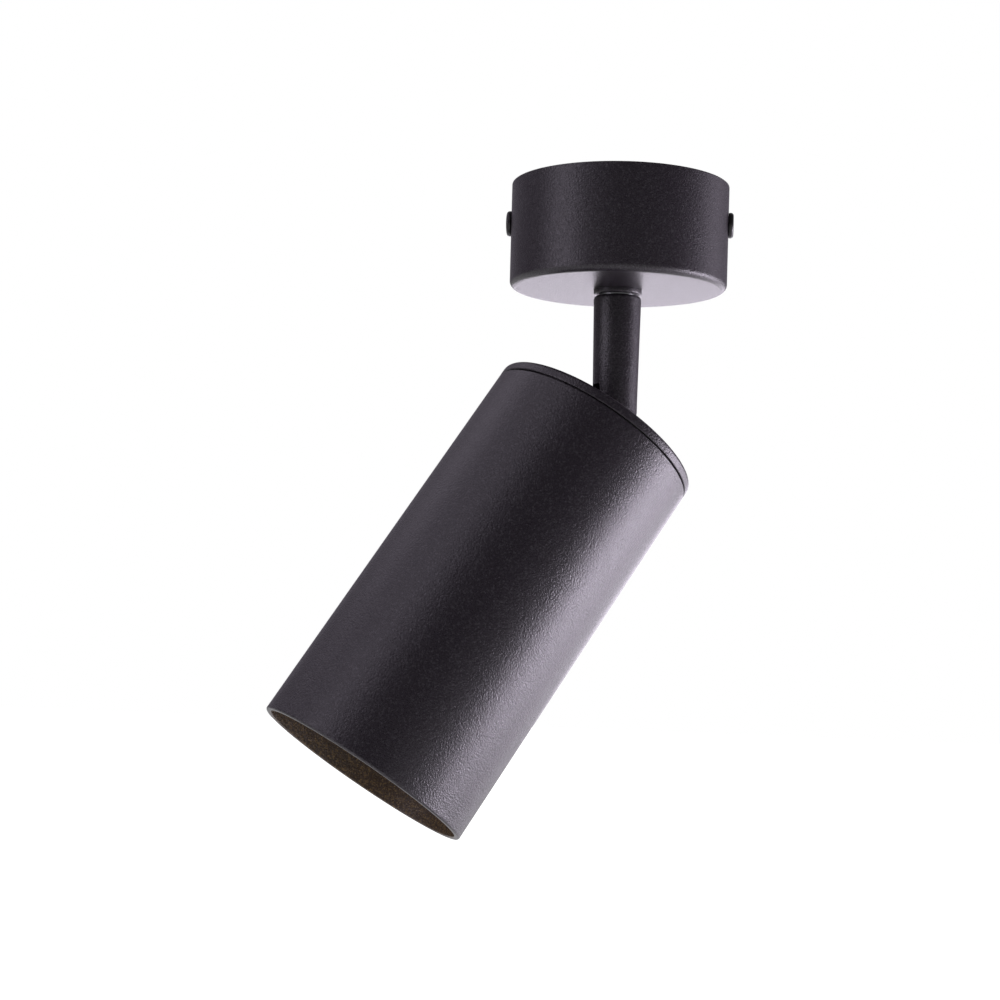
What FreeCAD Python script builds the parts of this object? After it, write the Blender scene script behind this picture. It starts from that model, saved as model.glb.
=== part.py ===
"""Surface mounted ceiling spotlight: canopy, swivelling stem, tilting lamp head and its lamp.

Row frame, millimetres: the origin is the centre of the canopy's ceiling plane, +Z points up into the
ceiling and X runs through the two side screws. The part is drawn at the pose of rest.

Stem frame: the row frame turned about Z, so that +X is the way the head leans and Y is the hinge axis.
Head frame: origin at the hinge pivot, the head hanging straight down, +X the way it leans.
"""
import FreeCAD
import Part
import math
import os

V = FreeCAD.Vector
UP = V(0, 0, 1)
ORIGIN = V(0, 0, 0)

# ---------------------------------------------------------------- driving dimensions (mm, degrees)
THREAD_GAP = 0.02           # a threaded hole is this much larger than its screw
STACK_GAP = 0.05            # between clamped pieces

# pose of rest
LEAN_AZIMUTH = 207.9        # direction that the head leans to, from +X
TILT = 34.3                 # head axis from straight down

# canopy
CANOPY_R_TOP = 30.0
CANOPY_R_LOW = 29.9         # a little draft
CANOPY_H = 28.8
CANOPY_WALL = 1.2
CANOPY_FLOOR = 1.5
CANOPY_EDGE_R = 1.8
SIDE_SCREW_Z = -10.5
SIDE_SCREW_R = 2.0          # M4
SIDE_SCREW_HEAD_R = 3.5
SIDE_SCREW_HEAD_H = 1.3

# ceiling bracket
STRIP_T = 1.5
STRIP_W = 14.0
BEND_R = 2.0                # outside of the strip's bends
COLLAR_H = 1.5              # tapped collar inside each ear
COLLAR_WALL = 1.1
EAR_X = 27.6                # outer face of the bent ears
EAR_DEPTH = 16.0
SLOT_X = 16.0               # slot centres each side of the middle
SLOT_LENGTH = 9.0
SLOT_R = 2.2
CABLE_HOLE_R = 5.0
WING_W = 11.0
WING_BLOCK_Y = 22.0
WING_EARTH_Y = -18.0
EARTH_Y = -13.0
EARTH_ARM = 3.8             # ring centre to barrel
HEAD_TAG_ARM = 3.4
TAG_T = 0.8                 # earth ring tags
TAG_BARREL_L = 4.0
TAG_BARREL_DROP = 0.55      # barrel's axis below the tag

# terminal block
POLE_PITCH = 7.0
POLES = 3
BLOCK_Y = 15.0
BLOCK_SIZE = (21.0, 13.0, 11.0)
CLAMP_SIZE = (4.4, 10.0, 4.8)
CLAMP_BORE_R = 1.6
CLAMP_SCREW_Y = 3.0
CLAMP_SCREW_R = 1.25
CLAMP_SCREW_L = 4.6
BLOCK_SCREW_R = 1.25
BLOCK_SEAT = 2.4            # depth of the counterbore for the block's own screw

# swivel
NIPPLE_R = 5.0              # M10 x 1
NIPPLE_BORE_R = 3.2
NIPPLE_TOP = -20.0
RUNNING_GAP = 0.05
BUSH_R = 6.0
BUSH_FLANGE_R = 6.65
BUSH_FLANGE_H = 1.5
BUSH_LIP_R = 0.6            # rounding of the flange's lower edge
SEAM = 0.3                  # dark line between collar and stem
STOP_R = 10.0               # where the stop tab meets its peg
STOP_PEG_R = 1.2
BUSH_RISE = 0.3             # bush above the cup's floor
STOP_WASHER_R = 8.2
STOP_WASHER_T = 1.0
SPRING_WASHER_R = 8.0
SPRING_WASHER_T = 1.6
NUT_FLATS = 14.0
NUT_H = 3.2

# stem and hinge
STEM_R_TOP = 6.55
STEM_R_LOW = 6.13
STEM_BORE_R = 3.0
STEM_EDGE_R = 1.0           # rounding of the stem's top edge
STEM_SOCKET = 11.0          # depth that the nipple is screwed in
PIVOT_DROP = 31.0           # pivot below the canopy's underside
FORK_SLOT_W = 4.4
FORK_ROOF = 4.6             # slot roof above the pivot, on the side that the head leans to
LEAD_ROOF = 5.9             # the same on the other side, where the leads come out
LEAD_NOTCH_R = 1.1          # rounding of the way from the bore to that side
HINGE_R = 2.0               # M4
HINGE_HEAD_R = 3.5
HINGE_SEAT = 4.4            # screw seat from the stem's axis
HINGE_THREAD_END = 4.7
WASHER_T = 0.5
TONGUE_T = 3.2
TONGUE_R = 4.1
TONGUE_NECK = 3.6
TONGUE_FOOT_R = 9.0
TONGUE_FOOT_T = 2.0
TONGUE_SCREW_Y = 5.8
TONGUE_SCREW_R = 1.5        # M3

# lamp head
HEAD_R = 30.0
HEAD_L = 113.0
HEAD_WALL = 1.5
REAR_OFFSET = 9.8           # rear face from the pivot
CAP_RIM = 2.7
CAP_T = 3.0
CAP_EDGE_R = 1.0
GROOVE_R = 29.2
GROOVE_LIP_R = 0.3
SPIGOT_DEPTH = 6.0
SPIGOT_WALL = 3.0
BOSS_Y = 19.0
BOSS_R = 3.5
BOSS_H = 3.0
BOSS_SCREW_R = 1.5          # M3

# holder bracket and lampholder
HAT_T = 1.0
HAT_W = 18.0
HAT_LEG_Y = 14.0
HAT_FOOT_Y = 23.5
HAT_DEPTH = 12.2            # boss face to the plate's near side
HOLDER_R = 13.0
HOLDER_HALF_W = 10.5
HOLDER_H = 16.0
HOLDER_PLATE = 3.2
HOLDER_SCREW_Y = 9.2
HOLDER_SCREW_R = 1.5        # M3
PIN_R = 5.0                 # pins each side of the axis
PIN_SHANK_R = 1.6
PIN_HEAD_R = 2.45
PIN_CLEAR = 0.3
LAMP_TWIST = 25.0
CAVITY_H = 5.8
CHAMBER_R = 3.9             # round room behind each keyway

# lamp
LAMP_BASE_L = 10.7
LAMP_BASE_R = 12.6
LAMP_R = 25.0
LAMP_L = 50.0
LAMP_SHELL_T = 1.2

# leads
LEAD_R = 0.65
LEAD_PITCH = 1.4            # the three lie side by side through the hinge
LEAD_STEM_X = -1.4          # in the stem's bore
LEAD_HINGE_X = -4.95        # beside the tongue
LEAD_MEET_Z = -19.5         # canopy leads meet stem leads

# worked out from the above
UNDERSIDE = -CANOPY_H
PIVOT = V(0, 0, UNDERSIDE - PIVOT_DROP)
FLOOR_Z = UNDERSIDE + CANOPY_FLOOR
STEM_TOP = UNDERSIDE - BUSH_FLANGE_H - SEAM
CAP_Z = -REAR_OFFSET
CAP_IN_Z = CAP_Z - CAP_T
MOUTH_Z = CAP_Z - HEAD_L
BORE_R = HEAD_R - HEAD_WALL
BOSS_Z = CAP_IN_Z - BOSS_H
HOLDER_TOP = BOSS_Z - HAT_DEPTH - HAT_T
HOLDER_LOW = HOLDER_TOP - HOLDER_H
LAMP_TOP = HOLDER_LOW - PIN_CLEAR
LAMP_LOW = LAMP_TOP - LAMP_L
FOOT_Z = CAP_Z + TONGUE_FOOT_T


# ---------------------------------------------------------------- shape helpers
def corner_arc(before, corner, after, reach):
    """Tangent arc at a corner that starts and ends `reach` from it."""
    u = (before - corner).normalize()
    v = (after - corner).normalize()
    half = u.getAngle(v) / 2
    bisector = (u + v).normalize()
    radius = reach * math.tan(half)
    mid = corner + bisector * (radius / math.sin(half) - radius)
    return corner + u * reach, mid, corner + v * reach


def rounded_wire(points, reaches, closed):
    """Straight runs through the points; a corner with a reach is rounded by a tangent arc."""
    edges = []
    count = len(points)
    start = None
    last = None
    for i in range(count):
        inner = closed or 0 < i < count - 1
        if inner and reaches[i] > 0:
            a, mid, b = corner_arc(points[i - 1], points[i], points[(i + 1) % count], reaches[i])
        else:
            a, mid, b = points[i], None, points[i]
        if last is None:
            start = a
        elif (a - last).Length > 1e-6:
            edges.append(Part.LineSegment(last, a).toShape())
        if mid is not None:
            edges.append(Part.Arc(a, mid, b).toShape())
        last = b
    if closed and (start - last).Length > 1e-6:
        edges.append(Part.LineSegment(last, start).toShape())
    return Part.Wire(edges)


def reach_for(before, corner, after, radius):
    """How far from its corner a fillet of this radius starts."""
    u = (before - corner).normalize()
    v = (after - corner).normalize()
    return radius / math.tan(u.getAngle(v) / 2)


def outline(corners, plane):
    """Closed face from (a, b) or (a, b, fillet radius) corners; plane puts (a, b) in space."""
    points = [plane(c[0], c[1]) for c in corners]
    count = len(points)
    reaches = []
    for i, c in enumerate(corners):
        radius = c[2] if len(c) > 2 else 0
        if radius > 0:
            reaches.append(reach_for(points[i - 1], points[i], points[(i + 1) % count], radius))
        else:
            reaches.append(0)
    return Part.Face(rounded_wire(points, reaches, True))


def lathe(corners):
    """Solid of revolution about Z from (radius, z[, fillet]) corners."""
    face = outline(corners, lambda r, z: V(r, 0, z))
    return face.revolve(ORIGIN, UP, 360)


def extruded_x(corners, width):
    """(y, z) outline, drawn along X and centred on it."""
    face = outline(corners, lambda y, z: V(-width / 2, y, z))
    return face.extrude(V(width, 0, 0))


def extruded_y(corners, width):
    """(x, z) outline, drawn along Y and centred on it."""
    face = outline(corners, lambda x, z: V(x, -width / 2, z))
    return face.extrude(V(0, width, 0))


def rod(radius, z0, z1, x=0.0, y=0.0):
    """Upright cylinder between two heights."""
    low = min(z0, z1)
    return Part.makeCylinder(radius, abs(z1 - z0), V(x, y, low), UP)


def rod_y(radius, y0, y1, x=0.0, z=0.0):
    """Cylinder along Y between two stations."""
    low = min(y0, y1)
    return Part.makeCylinder(radius, abs(y1 - y0), V(x, low, z), V(0, 1, 0))


def block(x0, x1, y0, y1, z0, z1):
    return Part.makeBox(x1 - x0, y1 - y0, z1 - z0, V(x0, y0, z0))


def ring(r_in, r_out, z0, z1):
    return rod(r_out, z0, z1).cut(rod(r_in, z0, z1))


def stadium(half, radius, z0, z1, x):
    """Upright oblong along Y: two ends of this radius, their centres `half` each side."""
    body = block(x - radius, x + radius, -half, half, z0, z1)
    return body.fuse([rod(radius, z0, z1, x, -half), rod(radius, z0, z1, x, half)]).removeSplitter()


def slot_x(half, radius, z0, z1, x):
    """Upright oblong along X about a centre on the X axis."""
    body = block(x - half, x + half, -radius, radius, z0, z1)
    return body.fuse([rod(radius, z0, z1, x - half), rod(radius, z0, z1, x + half)]).removeSplitter()


def arc_slot(radius, half_width, z0, z1, start, sweep):
    """Curved oblong about Z, from angle start through sweep degrees."""
    low, high = min(z0, z1), max(z0, z1)
    outer = Part.makeCylinder(radius + half_width, high - low, V(0, 0, low), UP, sweep)
    band = outer.cut(rod(radius - half_width, z0, z1))
    band.rotate(ORIGIN, UP, start)
    ends = []
    for angle in (start, start + sweep):
        a = math.radians(angle)
        ends.append(rod(half_width, z0, z1, radius * math.cos(a), radius * math.sin(a)))
    return band.fuse(ends).removeSplitter()


def hexagon(across_flats, z0, z1):
    radius = across_flats / math.sqrt(3)
    corners = [V(radius * math.cos(math.radians(60 * i)), radius * math.sin(math.radians(60 * i)), z0)
               for i in range(6)]
    return Part.Face(Part.makePolygon(corners + corners[:1])).extrude(V(0, 0, z1 - z0))


def cross_recess(size, top, depth):
    half = size / 2
    bar = size * 0.13
    one = block(-half, half, -bar, bar, top - depth, top)
    return one.fuse(block(-bar, bar, -half, half, top - depth, top))


def screw(radius, length, head_r, head_h, drive):
    """Low headed screw with its seat at z = 0, head up and shank down."""
    body = lathe([(0, -length), (radius, -length, radius * 0.25), (radius, 0), (head_r, 0, 0.2),
                  (head_r, head_h, head_h * 0.6), (0, head_h)])
    if drive == "hex":
        return body.cut(hexagon(head_r * 0.72, head_h - head_h * 0.65, head_h))
    return body.cut(cross_recess(head_r * 1.15, head_h, head_h * 0.6))


def countersunk(radius, length, head_r):
    """Flat headed screw, its top at z = 0 and its shank down."""
    cone = head_r - radius
    body = lathe([(0, -length), (radius, -length, radius * 0.25), (radius, -cone), (head_r, 0), (0, 0)])
    return body.cut(cross_recess(head_r * 1.1, 0, cone * 0.7))


def aimed(shape, point, direction):
    """Copy of a shape drawn along +Z, moved to a point and turned to a direction."""
    out = shape.copy()
    out.Placement = FreeCAD.Placement(point, FreeCAD.Rotation(UP, direction))
    return out


def lead(points):
    """Insulated wire: straight runs and the largest tangent arcs that they allow."""
    reaches = [0.0]
    for i in range(1, len(points) - 1):
        runs = (points[i] - points[i - 1]).Length, (points[i + 1] - points[i]).Length
        reaches.append(0.45 * min(runs))
    reaches.append(0.0)
    path = rounded_wire(points, reaches, False)
    first = points[1] - points[0]
    section = Part.Wire(Part.makeCircle(LEAD_R, points[0], first))
    return Part.Wire(path).makePipeShell([section], True, False)


# ---------------------------------------------------------------- frames
TURN = FreeCAD.Rotation(UP, LEAN_AZIMUTH)
STEM_PLACE = FreeCAD.Placement(ORIGIN, TURN)
HEAD_PLACE = FreeCAD.Placement(PIVOT, TURN.multiply(FreeCAD.Rotation(V(0, 1, 0), -TILT)))


def put(shape, placement):
    out = shape.copy()
    out.Placement = placement.multiply(shape.Placement)
    return out


def lead_offset(index):
    """Place of one of the three leads along the hinge axis."""
    return (index - 1) * LEAD_PITCH


# ---------------------------------------------------------------- canopy body
def canopy_cup():
    cup = lathe([
        (CANOPY_R_TOP, 0, 0.25),
        (CANOPY_R_LOW, UNDERSIDE, CANOPY_EDGE_R),
        (BUSH_R + THREAD_GAP, UNDERSIDE),
        (BUSH_R + THREAD_GAP, FLOOR_Z),
        (CANOPY_R_LOW - CANOPY_WALL, FLOOR_Z, 0.8),
        (CANOPY_R_TOP - CANOPY_WALL, 0),
    ])
    hole = Part.makeCylinder(SIDE_SCREW_R + 0.15, 2 * CANOPY_R_TOP + 2,
                             V(-CANOPY_R_TOP - 1, 0, SIDE_SCREW_Z), V(1, 0, 0))
    return cup.cut(hole)


def side_screws():
    """The two low screws that hold the cup to the bracket's ears."""
    length = CANOPY_R_TOP - EAR_X + STRIP_T + 3.0
    one = screw(SIDE_SCREW_R, length, SIDE_SCREW_HEAD_R, SIDE_SCREW_HEAD_H, "cross")
    return [aimed(one, V(side * CANOPY_R_TOP, 0, SIDE_SCREW_Z), V(side, 0, 0)) for side in (-1, 1)]


def ceiling_bracket():
    """Bent steel strip with slots, wings and two tapped ears."""
    inner = EAR_X - STRIP_T
    strip = extruded_y([
        (-EAR_X, -EAR_DEPTH, 0.3), (-EAR_X, 0, BEND_R), (EAR_X, 0, BEND_R), (EAR_X, -EAR_DEPTH, 0.3),
        (inner, -EAR_DEPTH, 0.3), (inner, -STRIP_T, BEND_R - STRIP_T),
        (-inner, -STRIP_T, BEND_R - STRIP_T), (-inner, -EAR_DEPTH, 0.3),
    ], STRIP_W)
    half = WING_W / 2
    wing = block(-half, half, WING_EARTH_Y, WING_BLOCK_Y, -STRIP_T, 0)
    tools = [rod(CABLE_HOLE_R, -STRIP_T, 0), rod(SIDE_SCREW_R, -STRIP_T, 0, 0, EARTH_Y),
             rod(BLOCK_SCREW_R, -STRIP_T, 0, POLE_PITCH / 2, BLOCK_Y)]
    tools += [slot_x(SLOT_LENGTH / 2 - SLOT_R, SLOT_R, -STRIP_T, 0, s * SLOT_X) for s in (-1, 1)]
    collars = []
    for side in (-1, 1):
        face = V(side * inner, 0, SIDE_SCREW_Z)
        collars.append(Part.makeCylinder(SIDE_SCREW_R + COLLAR_WALL, COLLAR_H, face, V(-side, 0, 0)))
        tools.append(Part.makeCylinder(SIDE_SCREW_R + THREAD_GAP, 5, V(side * (inner - 2.5), 0, SIDE_SCREW_Z),
                                       V(side, 0, 0)))
    plate = strip.fuse([wing] + collars).removeSplitter()
    return plate.cut(tools)


def pole_x(index):
    return (index - (POLES - 1) / 2) * POLE_PITCH


def block_z():
    """Top, clamp axis and bottom of the terminal block."""
    top = -STRIP_T
    return top, top - BLOCK_SIZE[2] / 2, top - BLOCK_SIZE[2]


def terminal_block():
    top, middle, low = block_z()
    dx, dy = BLOCK_SIZE[0] / 2, BLOCK_SIZE[1] / 2
    body = block(-dx, dx, BLOCK_Y - dy, BLOCK_Y + dy, low, top)
    body = body.makeFillet(0.6, [e for e in body.Edges if abs(e.tangentAt(0).z) > 0.9])
    cx, cy, cz = CLAMP_SIZE[0] / 2 + 0.1, dy + 1, CLAMP_SIZE[2] / 2 + 0.1
    tools = [rod(BLOCK_SCREW_R + 0.05, low, top, POLE_PITCH / 2, BLOCK_Y),
             rod(2.3, low, low + BLOCK_SEAT, POLE_PITCH / 2, BLOCK_Y)]
    for i in range(POLES):
        x = pole_x(i)
        tools.append(block(x - cx, x + cx, BLOCK_Y - cy, BLOCK_Y + cy, middle - cz, middle + cz))
        tools += [rod(1.7, low, middle, x, BLOCK_Y + s * CLAMP_SCREW_Y) for s in (-1, 1)]
    for i in range(POLES - 1):
        x = pole_x(i) + POLE_PITCH / 2
        tools += [block(x - 0.6, x + 0.6, BLOCK_Y + s * (dy - 0.9) - 1, BLOCK_Y + s * (dy - 0.9) + 1,
                        low, top) for s in (-1, 1)]
    return body.cut(tools)


def terminal_clamps():
    middle = block_z()[1]
    dx, dy, dz = (c / 2 for c in CLAMP_SIZE)
    clamps = []
    for i in range(POLES):
        x = pole_x(i)
        body = block(x - dx, x + dx, BLOCK_Y - dy, BLOCK_Y + dy, middle - dz, middle + dz)
        tools = [rod_y(CLAMP_BORE_R, BLOCK_Y - dy - 1, BLOCK_Y + dy + 1, x, middle)]
        tools += [rod(CLAMP_SCREW_R + THREAD_GAP, middle - dz - 1, middle, x, BLOCK_Y + s * CLAMP_SCREW_Y)
                  for s in (-1, 1)]
        clamps.append(body.cut(tools))
    return clamps


def terminal_screws():
    _, middle, low = block_z()
    neck = CLAMP_SCREW_L - 1.0
    one = lathe([(0, 0), (CLAMP_SCREW_R, 0, 0.3), (CLAMP_SCREW_R, neck), (1.6, neck),
                 (1.6, CLAMP_SCREW_L, 0.2), (0, CLAMP_SCREW_L)])
    one = one.cut(block(-2, 2, -0.25, 0.25, CLAMP_SCREW_L - 0.6, CLAMP_SCREW_L))
    top = low + 0.15 + CLAMP_SCREW_L
    return [aimed(one, V(pole_x(i), BLOCK_Y + s * CLAMP_SCREW_Y, top), -UP)
            for i in range(POLES) for s in (-1, 1)]


def block_screw():
    low = block_z()[2]
    length = BLOCK_SIZE[2] + STRIP_T - BLOCK_SEAT - 0.1
    one = screw(BLOCK_SCREW_R - 0.03, length, 2.1, 1.5, "cross")
    return [aimed(one, V(POLE_PITCH / 2, BLOCK_Y, low + BLOCK_SEAT), -UP)]


def ring_tag(radius, thickness, arm):
    """Ring tag below z = 0 about the origin, its crimped barrel along +X at the arm's end."""
    out = radius + 1.7
    plate = rod(out, -thickness, 0).fuse(block(0, arm, -1.5, 1.5, -thickness, 0))
    start = V(arm, 0, -thickness - TAG_BARREL_DROP)
    barrel = Part.makeCylinder(1.35, TAG_BARREL_L, start, V(1, 0, 0))
    bore = Part.makeCylinder(LEAD_R + THREAD_GAP, TAG_BARREL_L, start, V(1, 0, 0))
    return plate.fuse(barrel).removeSplitter().cut([rod(radius + 0.1, -thickness, 0), bore])


def earth_tag():
    """Tag on the bracket; its barrel points to -X."""
    tag = ring_tag(SIDE_SCREW_R, TAG_T, EARTH_ARM)
    place = FreeCAD.Placement(V(0, EARTH_Y, -STRIP_T), FreeCAD.Rotation(UP, 180))
    return put(tag, place)


def earth_screw():
    one = screw(SIDE_SCREW_R - THREAD_GAP, STRIP_T + TAG_T - 0.1, 3.5, 2.2, "cross")
    return [aimed(one, V(0, EARTH_Y, -STRIP_T - TAG_T), -UP)]


def swivel_bush():
    """Flanged bush in the cup's floor; its flange is the collar above the stem."""
    bore = NIPPLE_R + RUNNING_GAP
    return lathe([
        (bore, UNDERSIDE - BUSH_FLANGE_H),
        (BUSH_FLANGE_R, UNDERSIDE - BUSH_FLANGE_H, BUSH_LIP_R),
        (BUSH_FLANGE_R, UNDERSIDE, 0.1),
        (BUSH_R, UNDERSIDE),
        (BUSH_R, FLOOR_Z + BUSH_RISE),
        (bore, FLOOR_Z + BUSH_RISE),
    ])


def stop_peg():
    """Short peg on the cup's floor that stops the swivel; it stands opposite the tab at rest."""
    a = math.radians(LEAN_AZIMUTH + 180)
    peg = rod(STOP_PEG_R, FLOOR_Z, FLOOR_Z + 2.6, STOP_R * math.cos(a), STOP_R * math.sin(a))
    return peg


def stem_lead_point(index, z):
    return V(LEAD_STEM_X, lead_offset(index), z)


def canopy_lead(index):
    """From the block's pole to the top of the nipple."""
    _, middle, _ = block_z()
    x = pole_x(index)
    end = STEM_PLACE.multVec(stem_lead_point(index, LEAD_MEET_Z))
    near = BLOCK_Y - BLOCK_SIZE[1] / 2
    return lead([V(x, near + 3.5, middle), V(x, near - 1.5, middle), V(x * 0.62, near - 4.6, middle - 3.2),
                 V(end.x, end.y, end.z + 4.6), V(end.x, end.y, end.z + 0.1)])


def bracket_earth_lead():
    """From the outer side of the earth pole round to the bracket's ring tag."""
    _, middle, _ = block_z()
    x = pole_x(POLES - 1)
    out = BLOCK_Y + BLOCK_SIZE[1] / 2
    tag_x = -EARTH_ARM - TAG_BARREL_L
    tag_z = -STRIP_T - TAG_T - TAG_BARREL_DROP
    return lead([V(x, out - 3.5, middle), V(x, out + 0.6, middle), V(x + 4.6, out + 0.9, middle - 1.5),
                 V(x + 8.6, out - 6.0, middle - 3.5), V(x + 10.0, 2.0, -13.5),
                 V(9.5, -13.0, -14.0), V(-2.0, -19.5, -11.0), V(-12.5, -17.5, -6.0),
                 V(-13.0, EARTH_Y, tag_z), V(tag_x, EARTH_Y, tag_z)])


# ---------------------------------------------------------------- stem body (stem frame)
def stem():
    taper = Part.makeCone(STEM_R_LOW, STEM_R_TOP, STEM_TOP - PIVOT.z, PIVOT, UP)
    top_edge = [e for e in taper.Edges if e.BoundBox.ZMin > STEM_TOP - 0.1]
    taper = taper.makeFillet(STEM_EDGE_R, top_edge)
    end = rod(STEM_R_LOW, PIVOT.z - STEM_R_LOW, PIVOT.z)
    end = end.common(rod_y(STEM_R_LOW, -STEM_R_LOW - 1, STEM_R_LOW + 1, 0, PIVOT.z))
    low = PIVOT.z - STEM_R_TOP
    lead_roof = PIVOT.z + LEAD_ROOF
    half = FORK_SLOT_W / 2
    tools = [
        rod(NIPPLE_R + THREAD_GAP, STEM_TOP - STEM_SOCKET, STEM_TOP + 1),
        rod(STEM_BORE_R, PIVOT.z, STEM_TOP),
        block(0, STEM_R_TOP, -half, half, low, PIVOT.z + FORK_ROOF),
        block(-STEM_R_TOP, 0, -half, half, low, lead_roof),
        rod_y(LEAD_NOTCH_R, -half, half, -STEM_BORE_R - 0.1, lead_roof),
        rod_y(HINGE_R + 0.04, -STEM_R_TOP, 0, 0, PIVOT.z),
        rod_y(HINGE_HEAD_R + 0.25, -STEM_R_TOP, -HINGE_SEAT, 0, PIVOT.z),
        rod_y(HINGE_R + THREAD_GAP, 0, HINGE_THREAD_END, 0, PIVOT.z),
    ]
    return taper.fuse(end).removeSplitter().cut(tools)


def threaded_nipple():
    low = STEM_TOP - STEM_SOCKET
    return lathe([(NIPPLE_BORE_R, low), (NIPPLE_R, low, 0.4), (NIPPLE_R, NIPPLE_TOP, 0.4),
                  (NIPPLE_BORE_R, NIPPLE_TOP)])


def stack_z():
    """Heights of the stop washer, spring washer and lock nut on the nipple."""
    stop = FLOOR_Z + BUSH_RISE + 2 * STACK_GAP
    spring = stop + STOP_WASHER_T + STACK_GAP
    nut = spring + SPRING_WASHER_T + STACK_GAP
    return stop, spring, nut


def stop_washer():
    """Washer with a tab that meets the peg."""
    z = stack_z()[0]
    body = ring(NIPPLE_R + THREAD_GAP, STOP_WASHER_R, z, z + STOP_WASHER_T)
    tab = block(7.0, STOP_R + STOP_PEG_R + 0.4, -1.5, 1.5, z, z + STOP_WASHER_T)
    return body.fuse(tab).removeSplitter()


def spring_washer():
    """Split washer, flattened by the nut."""
    z = stack_z()[1]
    body = ring(NIPPLE_R + RUNNING_GAP, SPRING_WASHER_R, z, z + SPRING_WASHER_T)
    gap = block(4, 9, -0.4, 0.4, z - 1, z + 3)
    gap.rotate(V(6.5, 0, z + 0.8), V(1, 0, 0), 30)
    return body.cut(gap)


def lock_nut():
    z = stack_z()[2]
    top = z + NUT_H
    face = NUT_FLATS / 2 + 0.1
    corner = NUT_FLATS / 2 + 1.2
    chamfer = lathe([(0, z), (face, z), (corner, z + 0.6), (corner, top - 0.6), (face, top), (0, top)])
    return hexagon(NUT_FLATS, z, top).common(chamfer).cut(rod(NIPPLE_R + THREAD_GAP, z, top))


def hinge_screw():
    """Put in from the far side; its thread ends blind in the near cheek."""
    one = screw(HINGE_R, HINGE_SEAT + HINGE_THREAD_END - 0.1, HINGE_HEAD_R, 1.4, "hex")
    return [aimed(one, V(0, -HINGE_SEAT, PIVOT.z), V(0, -1, 0))]


def hinge_washers():
    inner = TONGUE_T / 2 + 0.06
    discs = []
    for y0, y1 in ((inner, inner + WASHER_T), (-inner - WASHER_T, -inner)):
        disc = rod_y(TONGUE_R - 0.1, y0, y1, 0, PIVOT.z)
        discs.append(disc.cut(rod_y(HINGE_R + 0.04, y0, y1, 0, PIVOT.z)))
    return discs


def stem_lead(index):
    return lead([stem_lead_point(index, LEAD_MEET_Z), stem_lead_point(index, PIVOT.z + 9.5)])


def hinge_lead(index):
    """Over the tongue's rear side, from the stem's bore to the slotted hole in the tongue's foot."""
    y = lead_offset(index)
    sine, cosine = math.sin(math.radians(TILT)), math.cos(math.radians(TILT))

    def in_stem(x, z):
        """A head-frame point in the stem frame, at the pose of rest."""
        return V(x * cosine - z * sine, y, PIVOT.z + x * sine + z * cosine)

    upright = -5.0
    drop = (LEAD_HINGE_X * cosine - upright) / sine
    return lead([V(LEAD_STEM_X, y, PIVOT.z + 9.5), V(LEAD_STEM_X, y, PIVOT.z + 7.0),
                 V(upright, y, PIVOT.z + 1.8), in_stem(LEAD_HINGE_X, drop),
                 in_stem(LEAD_HINGE_X, FOOT_Z + 0.05)])


# ---------------------------------------------------------------- head body (head frame)
def foot_hole(radius, z0, z1):
    return stadium(LEAD_PITCH, radius, z0, z1, LEAD_HINGE_X)


def hinge_tongue():
    """Plate that stands in the fork, on a round foot that is screwed to the rear cap."""
    plate = rod_y(TONGUE_R, -TONGUE_T / 2, TONGUE_T / 2)
    neck = block(-TONGUE_NECK, TONGUE_NECK, -TONGUE_T / 2, TONGUE_T / 2, FOOT_Z - 0.5, 0)
    foot = lathe([(0, CAP_Z), (TONGUE_FOOT_R, CAP_Z), (TONGUE_FOOT_R, FOOT_Z, 0.6), (0, FOOT_Z)])
    tools = [rod_y(HINGE_R + RUNNING_GAP, -TONGUE_T, TONGUE_T), foot_hole(LEAD_R + 0.3, CAP_Z, FOOT_Z)]
    tools += [rod(TONGUE_SCREW_R + THREAD_GAP, CAP_Z, FOOT_Z, 0, s * TONGUE_SCREW_Y) for s in (-1, 1)]
    return plate.fuse([neck, foot]).removeSplitter().cut(tools)


def tongue_screws():
    """Countersunk from inside the cap into the tongue's foot."""
    one = countersunk(TONGUE_SCREW_R, CAP_T + TONGUE_FOOT_T - 0.2, 2.9)
    return [aimed(one, V(0, s * TONGUE_SCREW_Y, CAP_IN_Z), -UP) for s in (-1, 1)]


def rear_cap():
    spigot_z = CAP_IN_Z - SPIGOT_DEPTH
    spigot_r = BORE_R - 0.05
    rim_z = CAP_Z - CAP_RIM
    cap = lathe([
        (0, CAP_Z), (HEAD_R, CAP_Z, CAP_EDGE_R), (HEAD_R, rim_z, GROOVE_LIP_R), (GROOVE_R, rim_z),
        (GROOVE_R, CAP_IN_Z), (spigot_r, CAP_IN_Z), (spigot_r, spigot_z, 0.5),
        (spigot_r - SPIGOT_WALL, spigot_z), (spigot_r - SPIGOT_WALL, CAP_IN_Z), (0, CAP_IN_Z),
    ])
    bosses = [rod(BOSS_R, CAP_IN_Z, BOSS_Z, 0, s * BOSS_Y) for s in (-1, 1)]
    tools = [foot_hole(2.0, CAP_IN_Z, CAP_Z)]
    for s in (-1, 1):
        hole = TONGUE_SCREW_R + 0.05
        tools.append(rod(hole, CAP_IN_Z, CAP_Z, 0, s * TONGUE_SCREW_Y))
        tools.append(Part.makeCone(hole + 1.4, hole, 1.4, V(0, s * TONGUE_SCREW_Y, CAP_IN_Z), UP))
        tools.append(rod(BOSS_SCREW_R + THREAD_GAP, BOSS_Z, BOSS_Z + 5.0, 0, s * BOSS_Y))
    return cap.fuse(bosses).removeSplitter().cut(tools)


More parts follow.
